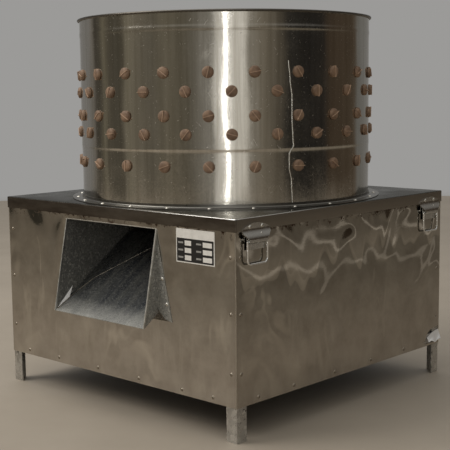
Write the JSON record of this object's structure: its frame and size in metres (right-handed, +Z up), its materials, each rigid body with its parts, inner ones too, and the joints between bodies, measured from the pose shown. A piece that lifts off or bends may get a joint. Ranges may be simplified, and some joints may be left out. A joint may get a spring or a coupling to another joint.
{
  "type": "poultry plucker",
  "caption": "Square steel cabinet on angle legs with a rubber-fingered drum on its lift-off cover, a spinning feather plate, a belt drive and a front feather chute.",
  "frame": {"origin": "on the floor, under the drum's axis", "axes": "+Z up along the drum's axis; the chute faces -Y; the near side with handles faces +X"},
  "size_m": [0.6724, 0.723, 0.76],
  "materials": {
    "galvanised": "dull zinc",
    "panel_stainless": "smooth, slightly wavy",
    "chute_galvanised": "spangled zinc",
    "zinc_plated": "bright",
    "plate_aluminium": "printed",
    "painted_steel": "satin",
    "cast_iron": "as cast",
    "machined_steel": "turned",
    "motor_paint": "gloss",
    "belt_rubber": "matt",
    "black_plastic": "satin",
    "cover_stainless": "smooth",
    "drum_stainless": "mirror, scuffed",
    "finger_rubber": "matt",
    "bright_steel": "bright zinc plate",
    "green_plastic": "gloss",
    "red_plastic": "gloss"
  },
  "bodies": {
    "base": {"leg_front_left": "galvanised", "leg_front_right": "galvanised", "leg_rear_left": "galvanised", "leg_rear_right": "galvanised", "top_rail_front": "galvanised", "top_rail_rear": "galvanised", "top_rail_left": "galvanised", "top_rail_right": "galvanised", "bottom_rail_front": "galvanised", "bottom_rail_rear": "galvanised", "bottom_rail_left": "galvanised", "bottom_rail_right": "galvanised", "front_panel": "panel_stainless", "rear_panel": "panel_stainless", "left_panel": "panel_stainless", "right_panel": "panel_stainless", "panel_screws": "zinc_plated", "feather_tray": "chute_galvanised", "tray_walls": "chute_galvanised", "chute_hood": "chute_galvanised", "chute_rivets": "zinc_plated", "data_plate": "plate_aluminium", "bearing_bridge": "painted_steel", "motor_bridge": "painted_steel", "bearing_housing": "cast_iron", "upper_bearing": "machined_steel", "lower_bearing": "machined_steel", "drive_bolts": "zinc_plated", "motor_body": "motor_paint", "terminal_box": "motor_paint", "drive_belt": "belt_rubber", "switch_box": "black_plastic", "cable_gland": "black_plastic"},
    "top": {"cover_plate": "cover_stainless", "drum_shell": "drum_stainless", "drum_foot_ring": "drum_stainless", "cover_rivets": "zinc_plated", "drum_fingers_row_1": "finger_rubber", "drum_fingers_row_2": "finger_rubber", "drum_fingers_row_3": "finger_rubber", "drum_fingers_row_4": "finger_rubber", "drum_fingers_row_5": "finger_rubber", "handle_plate_front_right": "bright_steel", "handle_plate_rear_right": "bright_steel", "handle_plate_front_left": "bright_steel", "handle_plate_rear_left": "bright_steel"},
    "rotor": {"main_shaft": "machined_steel", "rotor_hub": "cast_iron", "feather_plate": "cover_stainless", "plate_fingers": "finger_rubber", "cap_nut": "zinc_plated", "large_pulley": "cast_iron"},
    "motor_rotor": {"motor_shaft": "machined_steel", "motor_pulley": "cast_iron"},
    "ring_front_right": {"handle_ring_front_right": "bright_steel"},
    "ring_rear_right": {"handle_ring_rear_right": "bright_steel"},
    "ring_front_left": {"handle_ring_front_left": "bright_steel"},
    "ring_rear_left": {"handle_ring_rear_left": "bright_steel"},
    "start": {"start_button": "green_plastic"},
    "stop": {"stop_button": "red_plastic"}
  },
  "joints": [
    {"name": "top_lift", "type": "slide", "parent": "base", "child": "top", "axis": [0, 0, 1], "range_m": [0, 0.18]},
    {"name": "rotor_spin", "type": "hinge", "parent": "base", "child": "rotor", "pos_m": [0, 0, 0.4], "axis": [0, 0, 1], "continuous": true},
    {"name": "motor_spin", "type": "hinge", "parent": "base", "child": "motor_rotor", "pos_m": [0, 0.215, 0.123], "axis": [0, 0, 1], "continuous": true},
    {"name": "ring_front_right_swing", "type": "hinge", "parent": "top", "child": "ring_front_right", "pos_m": [0.332, -0.276, 0.355], "axis": [0, -1, 0], "range_deg": [0, 110]},
    {"name": "ring_rear_right_swing", "type": "hinge", "parent": "top", "child": "ring_rear_right", "pos_m": [0.332, 0.276, 0.355], "axis": [0, -1, 0], "range_deg": [0, 110]},
    {"name": "ring_front_left_swing", "type": "hinge", "parent": "top", "child": "ring_front_left", "pos_m": [-0.332, -0.276, 0.355], "axis": [0, 1, 0], "range_deg": [0, 110]},
    {"name": "ring_rear_left_swing", "type": "hinge", "parent": "top", "child": "ring_rear_left", "pos_m": [-0.332, 0.276, 0.355], "axis": [0, 1, 0], "range_deg": [0, 110]},
    {"name": "start_press", "type": "slide", "parent": "base", "child": "start", "axis": [0, -1, 0], "range_m": [0, 0.003], "stiffness_N_per_m": 400},
    {"name": "stop_press", "type": "slide", "parent": "base", "child": "stop", "axis": [0, -1, 0], "range_m": [0, 0.003], "stiffness_N_per_m": 400}
  ],
  "couplings": [
    {"joint": "motor_spin", "follows": "rotor_spin", "ratio": 4.2423}
  ]
}
